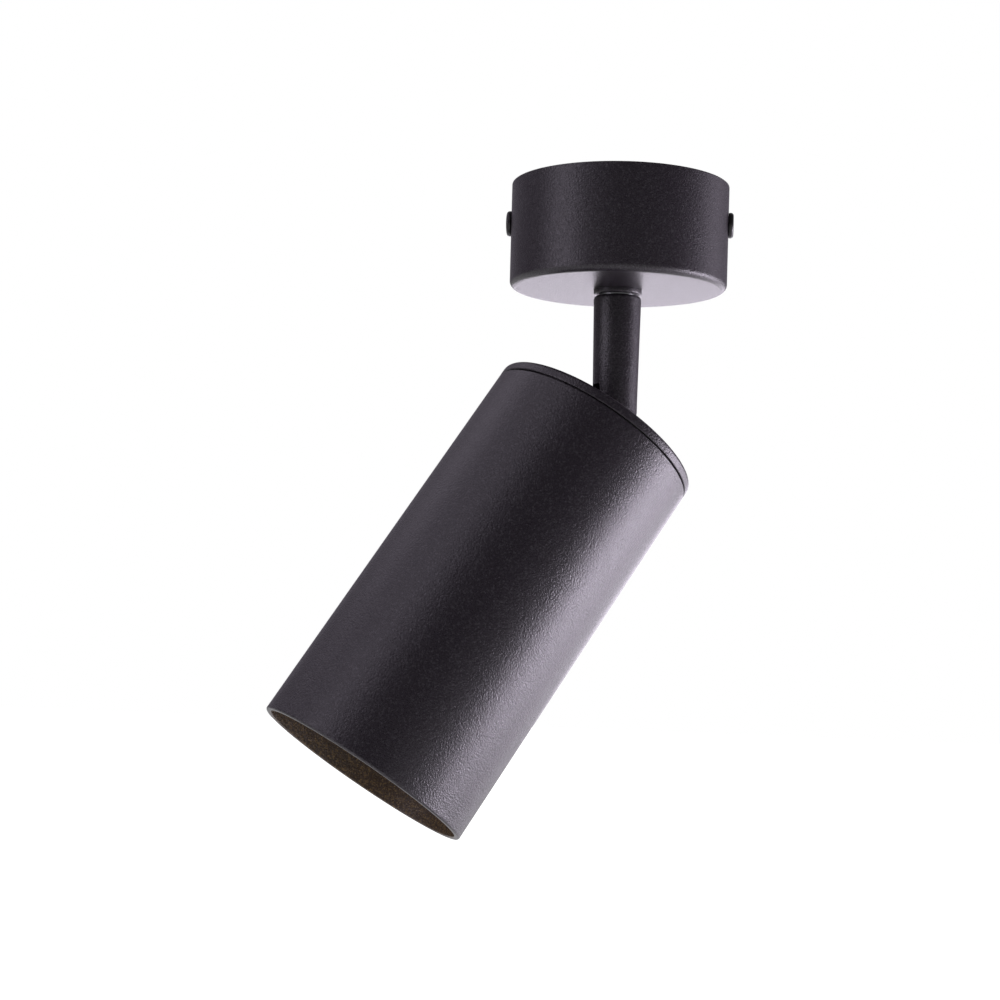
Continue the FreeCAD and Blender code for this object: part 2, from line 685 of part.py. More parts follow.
def lead_grommet():
    """Rubber bush in the cap's lead hole, its lip inside."""
    body = foot_hole(1.98, CAP_IN_Z, CAP_Z)
    lip = foot_hole(2.7, CAP_IN_Z - 0.8, CAP_IN_Z)
    holes = [rod(LEAD_R + THREAD_GAP, CAP_IN_Z - 0.8, CAP_Z, LEAD_HINGE_X, lead_offset(i)) for i in range(3)]
    return body.fuse(lip).removeSplitter().cut(holes)


def head_tube():
    tube = lathe([(BORE_R, CAP_IN_Z), (HEAD_R, CAP_IN_Z, GROOVE_LIP_R), (HEAD_R, MOUTH_Z, 0.5),
                  (BORE_R, MOUTH_Z, 0.4)])
    return tube


def holder_bracket():
    """Hat shaped strip from the cap's bosses to the lampholder."""
    plate_in = BOSS_Z - HAT_DEPTH
    leg = HAT_LEG_Y
    hat = extruded_x([
        (-HAT_FOOT_Y, BOSS_Z, 0.3), (-leg, BOSS_Z, 1.4), (-leg, plate_in, 0.5), (leg, plate_in, 0.5),
        (leg, BOSS_Z, 1.4), (HAT_FOOT_Y, BOSS_Z, 0.3), (HAT_FOOT_Y, BOSS_Z - HAT_T, 0.3),
        (leg + HAT_T, BOSS_Z - HAT_T, 0.5), (leg + HAT_T, HOLDER_TOP, 1.4), (-leg - HAT_T, HOLDER_TOP, 1.4),
        (-leg - HAT_T, BOSS_Z - HAT_T, 0.5), (-HAT_FOOT_Y, BOSS_Z - HAT_T, 0.3),
    ], HAT_W)
    tools = [rod(6.6, plate_in, HOLDER_TOP)]
    tools += [rod(BOSS_SCREW_R + 0.15, BOSS_Z - HAT_T, BOSS_Z, 0, s * BOSS_Y) for s in (-1, 1)]
    tools += [rod(HOLDER_SCREW_R + THREAD_GAP, HOLDER_TOP, plate_in, 0, s * HOLDER_SCREW_Y) for s in (-1, 1)]
    return hat.cut(tools)


def head_earth_tag():
    """Tag under the bracket's foot on the near side, its barrel along +X."""
    tag = ring_tag(BOSS_SCREW_R, TAG_T, HEAD_TAG_ARM)
    return put(tag, FreeCAD.Placement(V(0, BOSS_Y, BOSS_Z - HAT_T), FreeCAD.Rotation()))


def bracket_screws():
    """One seats on the earth tag, the other on the bare foot."""
    screws = []
    for side, tag in ((-1, 0.0), (1, TAG_T)):
        one = screw(BOSS_SCREW_R, 4.4 + tag, 2.8, 1.8, "cross")
        screws.append(aimed(one, V(0, side * BOSS_Y, BOSS_Z - HAT_T - tag), -UP))
    return screws


def lampholder():
    """Ceramic body with two bayonet keyways, wire holes and two screw holes."""
    body = rod(HOLDER_R, HOLDER_LOW, HOLDER_TOP)
    body = body.common(block(-HOLDER_HALF_W, HOLDER_HALF_W, -HOLDER_R, HOLDER_R, HOLDER_LOW, HOLDER_TOP))
    body = body.makeChamfer(0.5, [e for e in body.Edges if e.BoundBox.ZMax < HOLDER_LOW + 0.1])
    plate = HOLDER_LOW + HOLDER_PLATE
    tools = []
    for turn in (0, 180):
        start = turn - LAMP_TWIST
        tools.append(arc_slot(PIN_R, PIN_SHANK_R + PIN_CLEAR, HOLDER_LOW - 1, plate + 1.0, start, LAMP_TWIST))
        for angle, radius, low, high in (
                (start, PIN_HEAD_R + PIN_CLEAR, HOLDER_LOW - 1, plate + 1.0),
                (turn - LAMP_TWIST / 2, CHAMBER_R, plate, plate + CAVITY_H)):
            a = math.radians(angle)
            tools.append(rod(radius, low, high, PIN_R * math.cos(a), PIN_R * math.sin(a)))
    for s in (-1, 1):
        tools.append(rod(1.25, plate + CAVITY_H - 0.5, HOLDER_TOP, s * PIN_R, 0))
        tools.append(rod(1.7, HOLDER_LOW, HOLDER_TOP, 0, s * HOLDER_SCREW_Y))
        tools.append(Part.makeCone(2.9, 1.7, 1.2, V(0, s * HOLDER_SCREW_Y, HOLDER_LOW), UP))
    return body.cut(tools)


def holder_contacts():
    """Spring leaf behind each pin, on a post in the wire hole."""
    top = HOLDER_LOW + HOLDER_PLATE + CAVITY_H
    contacts = []
    for s in (-1, 1):
        x = s * PIN_R
        leaf = block(x - 1.4, x + 1.4, -1.9, 1.9, top - 2.2, top - 1.8)
        post = rod(1.1, top - 2.0, top + 3.0, x, 0)
        contacts.append(leaf.fuse(post).removeSplitter())
    return contacts


def holder_screws():
    one = countersunk(HOLDER_SCREW_R, HOLDER_H + HAT_T + 0.6, 2.75)
    return [aimed(one, V(0, s * HOLDER_SCREW_Y, HOLDER_LOW + 0.05), -UP) for s in (-1, 1)]


def head_lead(index):
    """Live and neutral run to the lampholder's wire holes."""
    y = lead_offset(index)
    target = PIN_R if index == 0 else -PIN_R
    post_end = HOLDER_LOW + HOLDER_PLATE + CAVITY_H + 3.0
    points = [V(LEAD_HINGE_X, y, FOOT_Z), V(LEAD_HINGE_X, y, CAP_IN_Z - 3.5)]
    if index == 0:
        points.append(V(LEAD_HINGE_X * 0.3, y - 1.6, CAP_IN_Z - 7.0))
    points += [V(target, 0, HOLDER_TOP + 4.5), V(target, 0, post_end + 0.05)]
    return lead(points)


def head_earth_lead():
    """Round the bracket's leg to the ring tag on its foot."""
    barrel = V(HEAD_TAG_ARM + TAG_BARREL_L, BOSS_Y, BOSS_Z - HAT_T - TAG_T - TAG_BARREL_DROP)
    y = lead_offset(2)
    return lead([V(LEAD_HINGE_X, y, FOOT_Z), V(LEAD_HINGE_X, y, CAP_IN_Z - 3.5),
                 V(LEAD_HINGE_X + 1.5, y + 3.6, CAP_IN_Z - 7.0), V(4.0, 8.8, CAP_IN_Z - 8.5),
                 V(12.0, 11.5, CAP_IN_Z - 7.0), V(14.0, BOSS_Y - 1.5, barrel.z - 0.4),
                 barrel + V(2.6, 0, 0), barrel])


# ---------------------------------------------------------------- lamp body (head frame)
def lamp_base():
    low = LAMP_TOP - LAMP_BASE_L
    body = lathe([(0, LAMP_TOP), (LAMP_BASE_R - 1.2, LAMP_TOP, 0.8), (LAMP_BASE_R, LAMP_TOP - 3.5, 1.0),
                  (LAMP_BASE_R, low), (0, low)])
    return body


def lamp_pins():
    """Two headed contact pins."""
    reach = HOLDER_PLATE + 2 * PIN_CLEAR
    pins = []
    for s in (-1, 1):
        pin = lathe([(0, 0), (PIN_SHANK_R, 0), (PIN_SHANK_R, reach), (PIN_HEAD_R, reach, 0.2),
                     (PIN_HEAD_R, reach + 2.6, 0.6), (0, reach + 2.6)])
        pins.append(aimed(pin, V(s * PIN_R, 0, LAMP_TOP), UP))
    return pins


def lamp_shell():
    """Flared body from the base to the front rim."""
    top = LAMP_TOP - LAMP_BASE_L
    t = LAMP_SHELL_T
    return lathe([
        (LAMP_BASE_R - 2.6, top), (LAMP_BASE_R + 0.6, top, 0.4), (LAMP_BASE_R + 2.2, top - 4.0, 3.0),
        (LAMP_R - 1.4, LAMP_LOW + 9.0, 6.0), (LAMP_R, LAMP_LOW + 5.0, 1.5), (LAMP_R, LAMP_LOW, 0.6),
        (LAMP_R - t, LAMP_LOW), (LAMP_R - t, LAMP_LOW + 5.2, 1.0), (LAMP_R - 1.4 - t, LAMP_LOW + 9.4, 5.0),
        (LAMP_BASE_R + 2.2 - t, top - 4.2, 2.0), (LAMP_BASE_R - 0.6, top - 1.4),
        (LAMP_BASE_R - 2.6, top - 1.4),
    ])


def lamp_board():
    """Disc that carries the light source, with one raised chip."""
    z = LAMP_LOW + 11.0
    disc = rod(20.5, z, z + 1.6)
    return disc.fuse(rod(7.0, z - 0.8, z)).removeSplitter()


def lamp_lens():
    """Moulded front lens, its face a little domed."""
    r = LAMP_R - LAMP_SHELL_T - 0.05
    back = LAMP_LOW + 3.4
    face = LAMP_LOW + 0.8
    lens = lathe([(0, back), (r, back), (r, face, 0.3), (0, face)])
    dome_r = 160.0
    dome = Part.makeSphere(dome_r, V(0, 0, LAMP_LOW + 0.2 + dome_r))
    slab = rod(r - 2.0, LAMP_LOW + 0.1, face).common(dome)
    return lens.fuse(slab).removeSplitter()


# ---------------------------------------------------------------- nodes
LEAD_NAMES = ("live", "neutral", "earth")


def build():
    row = {
        "canopy_cup": canopy_cup(),
        "canopy_side_screws": side_screws(),
        "ceiling_bracket": ceiling_bracket(),
        "terminal_block": terminal_block(),
        "terminal_clamps": terminal_clamps(),
        "terminal_screws": terminal_screws(),
        "terminal_block_screw": block_screw(),
        "bracket_earth_tag": earth_tag(),
        "bracket_earth_screw": earth_screw(),
        "bracket_earth_lead": bracket_earth_lead(),
        "swivel_bush": swivel_bush(),
        "swivel_stop_peg": stop_peg(),
    }
    on_stem = {
        "stem": stem(),
        "threaded_nipple": threaded_nipple(),
        "stop_washer": stop_washer(),
        "spring_washer": spring_washer(),
        "lock_nut": lock_nut(),
        "hinge_screw": hinge_screw(),
        "hinge_washers": hinge_washers(),
    }
    on_head = {
        "hinge_tongue": hinge_tongue(),
        "tongue_screws": tongue_screws(),
        "rear_cap": rear_cap(),
        "lead_grommet": lead_grommet(),
        "head_tube": head_tube(),
        "holder_bracket": holder_bracket(),
        "bracket_screws": bracket_screws(),
        "head_earth_tag": head_earth_tag(),
        "lampholder": lampholder(),
        "holder_contacts": holder_contacts(),
        "holder_screws": holder_screws(),
        "lamp_base": lamp_base(),
        "lamp_pins": lamp_pins(),
        "lamp_shell": lamp_shell(),
        "lamp_board": lamp_board(),
        "lamp_lens": lamp_lens(),
    }
    for place, name in enumerate(LEAD_NAMES):
        row["canopy_lead_" + name] = canopy_lead(place)
        on_stem["stem_lead_" + name] = stem_lead(place)
        on_stem["hinge_lead_" + name] = hinge_lead(place)
        on_head["head_lead_" + name] = head_earth_lead() if name == "earth" else head_lead(place)
    nodes = {}
    for group, place in ((row, FreeCAD.Placement()), (on_stem, STEM_PLACE), (on_head, HEAD_PLACE)):
        for name, shape in group.items():
            solids = shape if isinstance(shape, list) else [shape]
            placed = [put(s, place) for s in solids]
            nodes[name] = placed[0] if len(placed) == 1 else Part.makeCompound(placed)
    return nodes


os.makedirs("parts", exist_ok=True)
NODES = build()
for name, shape in NODES.items():
    shape.exportStep("parts/" + name + ".step")
    print(name, "solids", len(shape.Solids), "valid", shape.isValid(), "volume", round(shape.Volume, 2))
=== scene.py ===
"""Surface mounted ceiling spotlight: finishes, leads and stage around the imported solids.

All lengths are in metres, in the same frame as the solids: the origin is the centre of the canopy's
ceiling plane, +Z points up into the ceiling and X runs through the two side screws.
"""
import math

import bmesh
import bpy
from bpy.props import FloatProperty, FloatVectorProperty, IntProperty, PointerProperty
from mathutils import Matrix, Vector


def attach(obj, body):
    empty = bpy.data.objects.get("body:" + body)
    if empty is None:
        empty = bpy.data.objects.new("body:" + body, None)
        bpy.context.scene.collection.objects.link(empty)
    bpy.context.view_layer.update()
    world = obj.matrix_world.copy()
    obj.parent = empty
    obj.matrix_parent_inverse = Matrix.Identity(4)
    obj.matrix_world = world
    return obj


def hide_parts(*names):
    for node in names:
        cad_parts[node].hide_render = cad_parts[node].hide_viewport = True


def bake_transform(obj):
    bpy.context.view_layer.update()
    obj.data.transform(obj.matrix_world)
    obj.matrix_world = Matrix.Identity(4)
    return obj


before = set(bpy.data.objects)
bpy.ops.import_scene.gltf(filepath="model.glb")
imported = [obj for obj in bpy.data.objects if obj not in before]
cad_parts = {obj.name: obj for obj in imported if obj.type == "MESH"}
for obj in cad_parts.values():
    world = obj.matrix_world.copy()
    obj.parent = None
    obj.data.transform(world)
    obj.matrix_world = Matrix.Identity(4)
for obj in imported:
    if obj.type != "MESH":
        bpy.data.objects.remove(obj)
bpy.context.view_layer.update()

bl_info = {
    "name": "Ceiling Spotlight",
    "version": (1, 0, 0),
    "blender": (4, 5, 0),
    "location": "3D View > Sidebar > Spotlight",
    "description": "Finishes, leads and stage of a surface mounted ceiling spotlight",
    "category": "Object",
}

MM = 0.001
LEAN = math.radians(207.9)          # the way the head leans, from +X
TILT = math.radians(34.3)           # head from straight down, at rest
PIVOT = Vector((0.0, 0.0, -59.8 * MM))
LEAD_PITCH = 1.4                    # mm; the three leads lie side by side across the hinge
BORE_RADIUS = 28.5 * MM             # inside of the head tube
CAMERA_PLACE = (21.58 * MM, -495.29 * MM, -116.61 * MM)
CAMERA_TURN = math.radians(6.05)    # about the vertical, from looking along +Y
CAMERA_RISE = 0.058205              # radians above the level
CAMERA_ROLL = 0.030503              # radians
STEM_TURN = Matrix.Rotation(LEAN, 4, "Z")
HEAD_PLACE = Matrix.Translation(PIVOT) @ STEM_TURN @ Matrix.Rotation(-TILT, 4, "Y")
TO_HEAD = HEAD_PLACE.inverted()

COATED = ("canopy_cup", "swivel_bush", "stem", "hinge_tongue", "rear_cap")
BLACK_SCREWS = ("canopy_side_screws", "hinge_screw")
PLATED = ("ceiling_bracket", "terminal_screws", "terminal_block_screw", "bracket_earth_screw", "swivel_stop_peg",
          "threaded_nipple", "stop_washer", "spring_washer", "lock_nut", "tongue_screws", "holder_bracket",
          "bracket_screws", "holder_screws", "lamp_pins")
BRASS = ("terminal_clamps", "bracket_earth_tag", "head_earth_tag", "holder_contacts")


# ---------------------------------------------------------------- node helpers
class Tree:
    """Adds nodes to one tree and joins them."""

    def __init__(self, tree):
        self.tree = tree

    def add(self, kind, inputs=(), **settings):
        made = self.tree.nodes.new(kind)
        for name, value in settings.items():
            setattr(made, name, value)
        for socket, value in dict(inputs).items():
            if isinstance(value, bpy.types.NodeSocket):
                self.tree.links.new(value, made.inputs[socket])
            else:
                made.inputs[socket].default_value = value
        return made

    def math(self, operation, a, b=0.0, clamp=False):
        return self.add("ShaderNodeMath", {0: a, 1: b}, operation=operation, use_clamp=clamp).outputs[0]

    def noise(self, vector, scale, detail=2.0, roughness=0.5):
        inputs = {"Vector": vector, "Scale": scale, "Detail": detail, "Roughness": roughness}
        return self.add("ShaderNodeTexNoise", inputs).outputs["Fac"]

    def remap(self, value, low, high, to_low=0.0, to_high=1.0):
        inputs = {"Value": value, "From Min": low, "From Max": high, "To Min": to_low, "To Max": to_high}
        return self.add("ShaderNodeMapRange", inputs).outputs["Result"]

    def mix(self, factor, a, b):
        made = self.add("ShaderNodeMix", data_type="RGBA")
        for socket, value in ((made.inputs[0], factor), (made.inputs[6], a), (made.inputs[7], b)):
            if isinstance(value, bpy.types.NodeSocket):
                self.tree.links.new(value, socket)
            else:
                socket.default_value = value
        return made.outputs[2]


def new_group(name, inputs, outputs):
    """Empty shader group with float, colour and vector sockets."""
    tree = bpy.data.node_groups.new(name, "ShaderNodeTree")
    kinds = {"v": "NodeSocketVector", "c": "NodeSocketColor", "f": "NodeSocketFloat"}
    for label, kind, value in inputs:
        socket = tree.interface.new_socket(label, in_out="INPUT", socket_type=kinds[kind])
        if value is not None:
            socket.default_value = value
    for label, kind in outputs:
        tree.interface.new_socket(label, in_out="OUTPUT", socket_type=kinds[kind])
    t = Tree(tree)
    return t, t.add("NodeGroupInput").outputs, t.add("NodeGroupOutput").inputs


def fine_grain_group():
    """Pebbled skin of a fine powder coat: close-set domes, dust between them, a ripple and bright flecks."""
    t, given, out = new_group(
        "Fine Grain Coat",
        [("Vector", "v", None), ("Colour", "c", (0.02, 0.02, 0.02, 1)), ("Domes per metre", "f", 1700.0),
         ("Height", "f", 0.00002), ("Roughness", "f", 0.45), ("Mottle", "f", 0.2),
         ("Fleck Colour", "c", (0.13, 0.125, 0.135, 1))],
        [("Colour", "c"), ("Roughness", "f"), ("Metallic", "f"), ("Normal", "v")])
    warp = t.add("ShaderNodeTexNoise", {"Vector": given["Vector"], "Scale": 900.0, "Detail": 1.0})
    bent = t.add("ShaderNodeVectorMath", {0: warp.outputs["Color"], "Scale": 0.0003}, operation="SCALE")
    place = t.add("ShaderNodeVectorMath", {0: given["Vector"], 1: bent.outputs[0]}, operation="ADD").outputs[0]
    domes = t.add("ShaderNodeTexVoronoi", {"Vector": place, "Scale": given["Domes per metre"]},
                  feature="SMOOTH_F1").outputs["Distance"]
    fine = t.noise(given["Vector"], t.math("MULTIPLY", given["Domes per metre"], 2.3), 3.0, 0.6)
    slow = t.noise(given["Vector"], t.math("MULTIPLY", given["Domes per metre"], 0.22), 2.0, 0.5)
    grain = t.math("ADD", t.math("MULTIPLY", domes, -1.0), t.math("MULTIPLY", fine, 0.5))
    grain = t.math("ADD", grain, t.math("MULTIPLY", slow, 0.15))
    bump = t.add("ShaderNodeBump", {"Height": grain, "Strength": 1.0, "Distance": given["Height"]})
    shade = t.math("ADD", t.math("MULTIPLY", t.math("SUBTRACT", fine, 0.5), given["Mottle"]), 1.0)
    tint = t.add("ShaderNodeVectorMath", {0: given["Colour"], "Scale": shade}, operation="SCALE").outputs[0]
    rough = t.math("ADD", given["Roughness"], t.math("MULTIPLY", t.math("SUBTRACT", fine, 0.5), 0.3))
    cells = t.add("ShaderNodeTexVoronoi", {"Vector": given["Vector"],
                                           "Scale": t.math("MULTIPLY", given["Domes per metre"], 1.3)})
    spark = t.add("ShaderNodeSeparateColor", {"Color": cells.outputs["Color"]}).outputs[0]
    fleck = t.remap(spark, 0.75, 1.0, 0.0, 0.4)
    links = t.tree.links.new
    links(t.mix(fleck, tint, given["Fleck Colour"]), out["Colour"])
    links(rough, out["Roughness"])
    links(fleck, out["Metallic"])
    links(bump.outputs[0], out["Normal"])
    return t.tree


def satin_group():
    """Plated, turned or moulded surface: fine lines along one way, faint blotches and a shallow bump."""
    t, given, out = new_group(
        "Satin Surface",
        [("Vector", "v", None), ("Colour", "c", (0.5, 0.5, 0.5, 1)), ("Darker Colour", "c", (0.4, 0.4, 0.4, 1)),
         ("Grain per metre", "f", 1500.0), ("Stretch", "f", 1.0), ("Roughness", "f", 0.35),
         ("Height", "f", 0.000005)],
        [("Colour", "c"), ("Roughness", "f"), ("Normal", "v")])
    stretch = t.add("ShaderNodeCombineXYZ", {0: given["Stretch"], 1: 1.0, 2: 1.0}).outputs[0]
    along = t.add("ShaderNodeVectorMath", {0: given["Vector"], 1: stretch}, operation="MULTIPLY").outputs[0]
    grain = t.noise(along, given["Grain per metre"], 3.0, 0.6)
    blotch = t.noise(given["Vector"], t.math("MULTIPLY", given["Grain per metre"], 0.12), 2.0, 0.5)
    both = t.math("ADD", t.math("MULTIPLY", grain, 0.5), t.math("MULTIPLY", blotch, 0.5))
    colour = t.mix(t.remap(both, 0.35, 0.65), given["Darker Colour"], given["Colour"])
    rough = t.math("ADD", given["Roughness"], t.math("MULTIPLY", t.math("SUBTRACT", both, 0.5), 0.3))
    bump = t.add("ShaderNodeBump", {"Height": grain, "Strength": 1.0, "Distance": given["Height"]})
    links = t.tree.links.new
    links(colour, out["Colour"])
    links(rough, out["Roughness"])
    links(bump.outputs[0], out["Normal"])
    return t.tree


def group(name, build):
    """The named group, built on first use."""
    return bpy.data.node_groups.get(name) or build()


def new_material(name, metallic=0.0, viewport=(0.1, 0.1, 0.1)):
    """Material with an empty Principled shader."""
    material = bpy.data.materials.new(name)
    material.use_nodes = True
    material.diffuse_color = (*viewport, 1)
    material.node_tree.nodes.clear()
    t = Tree(material.node_tree)
    shader = t.add("ShaderNodeBsdfPrincipled", {"Metallic": metallic})
    t.add("ShaderNodeOutputMaterial", {"Surface": shader.outputs[0]})
    return material, t, shader


def object_coordinates(t):
    """The place on the object, the same for every solid, since all sit at the origin."""
    return t.add("ShaderNodeTexCoord").outputs["Object"]


def coat_material(name, settings):
    """Black powder coat; also gives its tree, shader and coat group."""
    material, t, shader = new_material(name, viewport=settings.colour)
    coat = t.add("ShaderNodeGroup", node_tree=group("Fine Grain Coat", fine_grain_group))
    t.tree.links.new(object_coordinates(t), coat.inputs["Vector"])
    coat.inputs["Colour"].default_value = (*settings.colour, 1)
    coat.inputs["Domes per metre"].default_value = 1.0 / settings.grain_size
    coat.inputs["Height"].default_value = settings.grain_height
    coat.inputs["Roughness"].default_value = settings.roughness
    for socket, output in (("Base Color", "Colour"), ("Roughness", "Roughness"), ("Metallic", "Metallic"),
                           ("Normal", "Normal")):
        t.tree.links.new(coat.outputs[output], shader.inputs[socket])
    return material, t, shader, coat


def tube_material(name, settings):
    """The coat outside, and warm dark brown with lighter golden specks on the bore."""
    material, t, shader, coat = coat_material(name, settings)
    where = object_coordinates(t)
    turned = t.add("ShaderNodeMapping", {"Vector": where, "Location": TO_HEAD.to_translation(),
                                         "Rotation": TO_HEAD.to_euler()}).outputs[0]
    flat = t.add("ShaderNodeVectorMath", {0: turned, 1: (1.0, 1.0, 0.0)}, operation="MULTIPLY").outputs[0]
    radius = t.add("ShaderNodeVectorMath", {0: flat}, operation="LENGTH").outputs["Value"]
    bore = t.remap(radius, BORE_RADIUS + 0.4 * MM, BORE_RADIUS + 0.2 * MM)
    flakes = t.add("ShaderNodeTexVoronoi", {"Vector": where, "Scale": 2600.0}).outputs["Color"]
    spark = t.add("ShaderNodeSeparateColor", {"Color": flakes}).outputs[0]
    warm = t.mix(t.remap(spark, 0.6, 1.0), (*settings.bore_colour, 1), (*settings.flake_colour, 1))
    colour = t.mix(bore, coat.outputs["Colour"], warm)
    t.tree.links.new(colour, shader.inputs["Base Color"])
    return material


def satin_material(name, colour, darker, metallic, roughness, per_metre=1500.0, stretch=1.0, height=0.000004,
                   **sockets):
    """Material on the satin group; further values go to the shader's own sockets."""
    material, t, shader = new_material(name, metallic, colour)
    satin = t.add("ShaderNodeGroup", node_tree=group("Satin Surface", satin_group))
    t.tree.links.new(object_coordinates(t), satin.inputs["Vector"])
    satin.inputs["Colour"].default_value = (*colour, 1)
    satin.inputs["Darker Colour"].default_value = (*darker, 1)
    for label, value in (("Grain per metre", per_metre), ("Stretch", stretch), ("Roughness", roughness),
                         ("Height", height)):
        satin.inputs[label].default_value = value
    for socket, output in (("Base Color", "Colour"), ("Roughness", "Roughness"), ("Normal", "Normal")):
        t.tree.links.new(satin.outputs[output], shader.inputs[socket])
    for socket, value in sockets.items():
        shader.inputs[socket.replace("_", " ")].default_value = value
    return material


def striped_material(name, green, yellow):
    """Insulation with two colours side by side, from the tube's own map."""
    material = satin_material(name, green, green, 0.0, 0.38, 2500.0)
    t = Tree(material.node_tree)
    shader = next(n for n in t.tree.nodes if n.type == "BSDF_PRINCIPLED")
    around = t.add("ShaderNodeAttribute", attribute_name="around").outputs["Fac"]
    band = t.remap(t.math("ABSOLUTE", t.math("SUBTRACT", around, 0.5)), 0.14, 0.16)
    t.tree.links.new(t.mix(band, (*yellow, 1), (*green, 1)), shader.inputs["Base Color"])
    return material


def paint(nodes, material):
    """Gives the named solids one material, and leaves their meshes alone."""
    for name in nodes:
        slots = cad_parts[name].data.materials
        if slots:
            slots[0] = material
        else:
            slots.append(material)


# ---------------------------------------------------------------- mesh helpers
def keep_mesh(name, mesh, material, body, replaced):
    """Links a finished piece, with its place in its mesh, says what it rides on and hides the solids it stands
    for.
    """
    mesh.materials.clear()
    mesh.materials.append(material)
    piece = bpy.data.objects.new(name, mesh)
    bpy.context.scene.collection.objects.link(piece)
    if body:
        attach(piece, body)
    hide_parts(*replaced)
    return piece


def lead_mesh(name, route, radius, sides=20, steps=12):
    """Round insulation along a smooth curve through the route, with its share of the way round stored."""
    curve = bpy.data.curves.new(name, "CURVE")
    curve.dimensions = "3D"
    spline = curve.splines.new("NURBS")
    spline.points.add(len(route) - 1)
    for point, place in zip(spline.points, route):
        point.co = (*place, 1.0)
    spline.use_endpoint_u = True
    spline.order_u = 3
    spline.resolution_u = steps
    line_holder = bpy.data.objects.new(name + "_line", curve)
    line = bpy.data.meshes.new_from_object(line_holder)
    points = [v.co.copy() for v in line.vertices]
    bpy.data.objects.remove(line_holder)
    bpy.data.meshes.remove(line)
    bm = bmesh.new()
    share = bm.verts.layers.float.new("around")
    heading = (points[1] - points[0]).normalized()
    side = heading.orthogonal().normalized()
    rings = []
    for i, point in enumerate(points):
        ahead = points[min(i + 1, len(points) - 1)] - points[max(i - 1, 0)]
        ahead.normalize()
        side = (side - ahead * side.dot(ahead)).normalized()
        made = bmesh.ops.create_circle(bm, cap_ends=False, segments=sides, radius=radius)["verts"]
        turn = Matrix((side, ahead.cross(side), ahead)).transposed().to_4x4()
        bmesh.ops.transform(bm, matrix=Matrix.Translation(point) @ turn, verts=made)
        for k, v in enumerate(made):
            v[share] = k / sides
        ring = [e for e in bm.edges if e.verts[0] in made and e.verts[1] in made]
        rings.append(ring)
    for a, b in zip(rings, rings[1:]):
        bmesh.ops.bridge_loops(bm, edges=a + b)
    for ring in (rings[0], rings[-1]):
        bmesh.ops.contextual_create(bm, geom=ring)
    bmesh.ops.recalc_face_normals(bm, faces=bm.faces)
    for face in bm.faces:
        face.smooth = len(face.verts) == 4
    mesh = bpy.data.meshes.new(name)
    bm.to_mesh(mesh)
    bm.free()
    return mesh


def row_point(x, y, z):
    """Point given in mm from the centre of the ceiling plane."""
    return Vector((x, y, z)) * MM


def stem_point(x, y, z):
    """Point of the stem frame, in mm from the hinge pivot, in the row frame."""
    return PIVOT + STEM_TURN @ (Vector((x, y, z)) * MM)


def head_point(x, y, z):
    """Point of the head frame, in mm from the hinge pivot, in the row frame."""
    return HEAD_PLACE @ (Vector((x, y, z)) * MM)


# body that each earth lead rides on, and its way from end to end
EARTH_ROUTES = {
    "canopy_lead_earth": ("canopy", [
        row_point(7, 12, -7), row_point(7, 7, -7), row_point(4.34, 3.9, -10.2),
        stem_point(-1.4, LEAD_PITCH, 44.9), stem_point(-1.4, LEAD_PITCH, 40.4)]),
    "bracket_earth_lead": ("canopy", [
        row_point(7, 18, -7), row_point(7, 22.1, -7), row_point(11.6, 22.4, -8.5),
        row_point(15.6, 15.5, -10.5), row_point(17, 2, -13.5), row_point(9.5, -13, -14),
        row_point(-2, -19.5, -11), row_point(-12.5, -17.5, -6), row_point(-13, -13, -2.85),
        row_point(-7.8, -13, -2.85)]),
    "stem_lead_earth": ("stem", [
        stem_point(-1.4, LEAD_PITCH, 40.3), stem_point(-1.4, LEAD_PITCH, 25), stem_point(-1.4, LEAD_PITCH, 9.5)]),
    "head_lead_earth": ("head", [
        head_point(-4.95, LEAD_PITCH, -7.8), head_point(-4.95, LEAD_PITCH, -16.3), head_point(-3.45, 5, -19.8),
        head_point(4, 8.8, -21.3), head_point(12, 11.5, -19.8), head_point(14, 17.5, -18.55),
        head_point(10, 19, -18.15), head_point(7.4, 19, -18.15)]),
}


# ---------------------------------------------------------------- settings
class CoatSettings(bpy.types.PropertyGroup):
    colour: FloatVectorProperty(name="Coat Colour", description="Colour of the powder coat", subtype="COLOR",
                                size=3, min=0, max=1, default=(0.0160, 0.0122, 0.0170))
    roughness: FloatProperty(name="Roughness", description="How matt the coat is", subtype="FACTOR",
                             min=0, max=1, default=0.29)
    grain_size: FloatProperty(name="Grain Size", description="Width of one pebble of the coat", subtype="DISTANCE",
                              unit="LENGTH", min=0.0001, max=0.002, default=0.00042)
    grain_height: FloatProperty(name="Grain Height", description="Height of the pebbles", subtype="DISTANCE",
                                unit="LENGTH", min=0, max=0.0004, default=0.00009)
    bore_colour: FloatVectorProperty(name="Bore Colour", description="Thin warm coat inside the tube",
                                     subtype="COLOR", size=3, min=0, max=1, default=(0.075, 0.052, 0.036))
    flake_colour: FloatVectorProperty(name="Flake Colour", description="Fine flakes inside the tube",
                                      subtype="COLOR", size=3, min=0, max=1, default=(0.22, 0.15, 0.075))


class MetalSettings(bpy.types.PropertyGroup):
    zinc: FloatVectorProperty(name="Zinc Colour", description="Zinc plated steel", subtype="COLOR", size=3,
                              min=0, max=1, default=(0.60, 0.61, 0.62))
    brass: FloatVectorProperty(name="Brass Colour", description="Bare brass", subtype="COLOR", size=3,
                               min=0, max=1, default=(0.72, 0.53, 0.24))
    black: FloatVectorProperty(name="Black Screw Colour", description="Black plated screws", subtype="COLOR",
                               size=3, min=0, max=1, default=(0.014, 0.013, 0.014))


